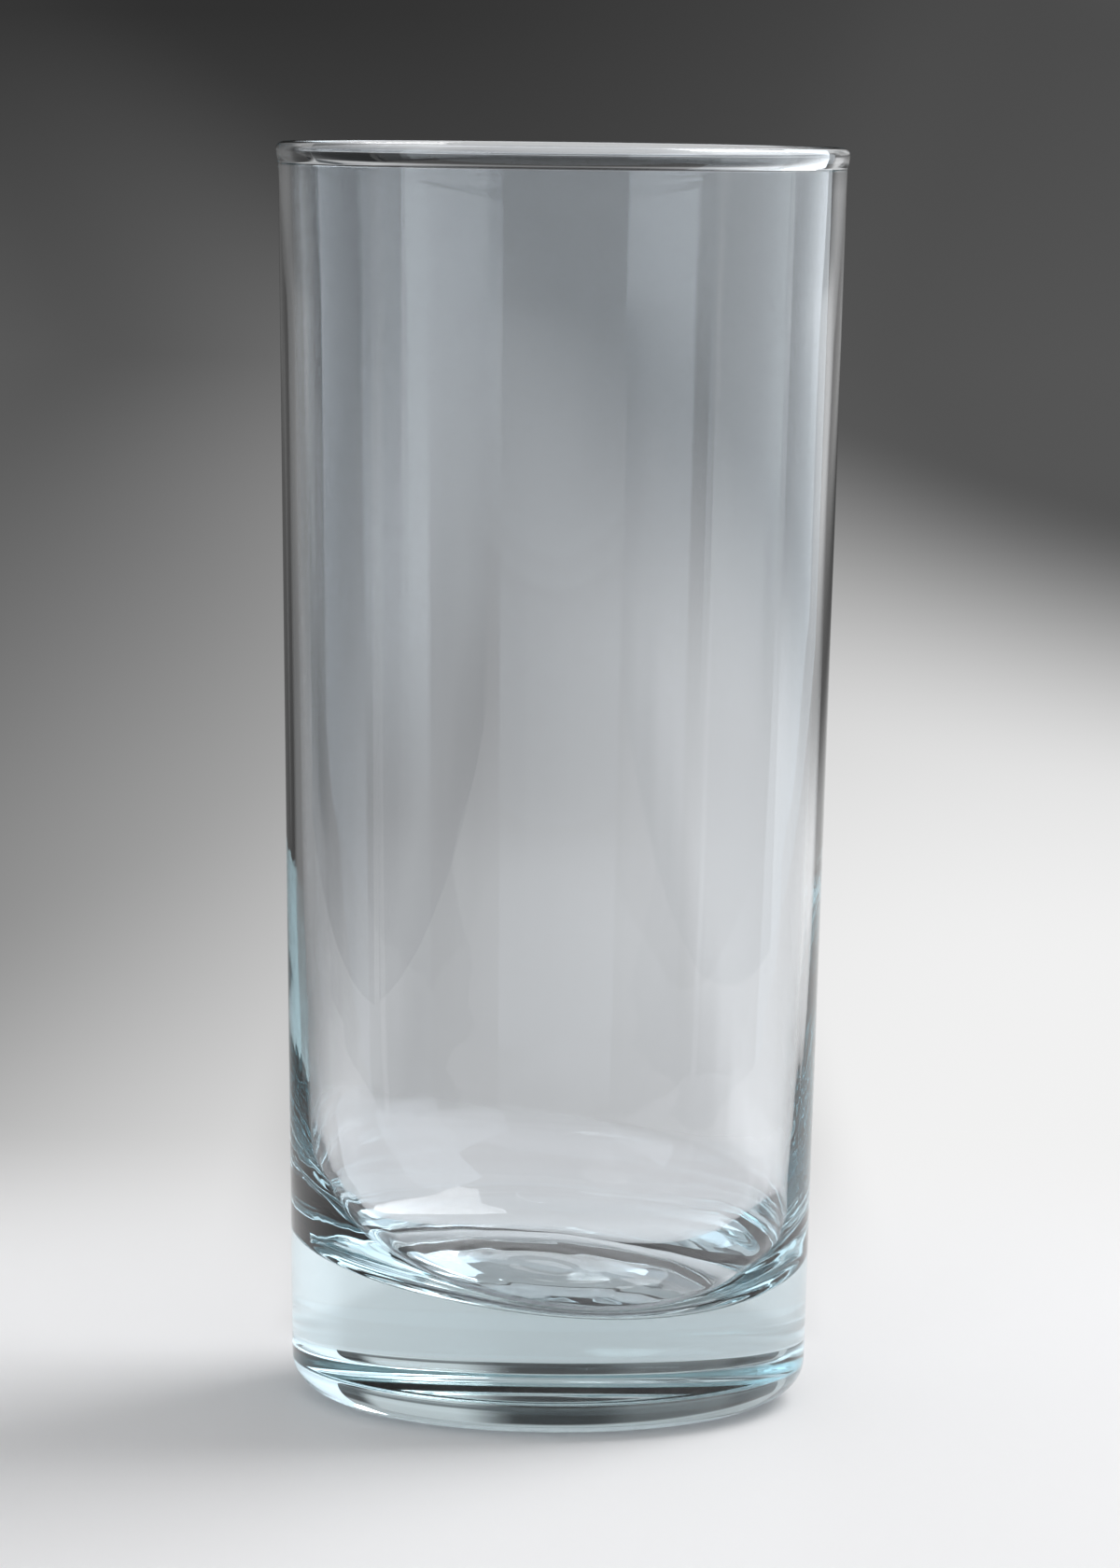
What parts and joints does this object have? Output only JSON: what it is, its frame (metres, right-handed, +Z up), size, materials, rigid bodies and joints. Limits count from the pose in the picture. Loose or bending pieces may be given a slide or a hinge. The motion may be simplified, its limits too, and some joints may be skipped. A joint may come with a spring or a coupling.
{
  "type": "highball glass",
  "caption": "Tall clear drinking glass with a slight taper, a fine round rim, a rounded heel and a thick solid base whose inner floor is a little off level.",
  "frame": {"origin": "on the table, at the middle of the foot", "axes": "+Z up along the glass's axis; the camera of the picture looks along +Y, and the inner floor falls towards +X and, a little less, towards -Y"},
  "size_m": [0.0628, 0.0628, 0.1385],
  "materials": {
    "clear_glass": "fire-polished clear soda-lime glass, blue-green where it is thick"
  },
  "bodies": {
    "root": {"tumbler": "clear_glass"}
  },
  "joints": []
}
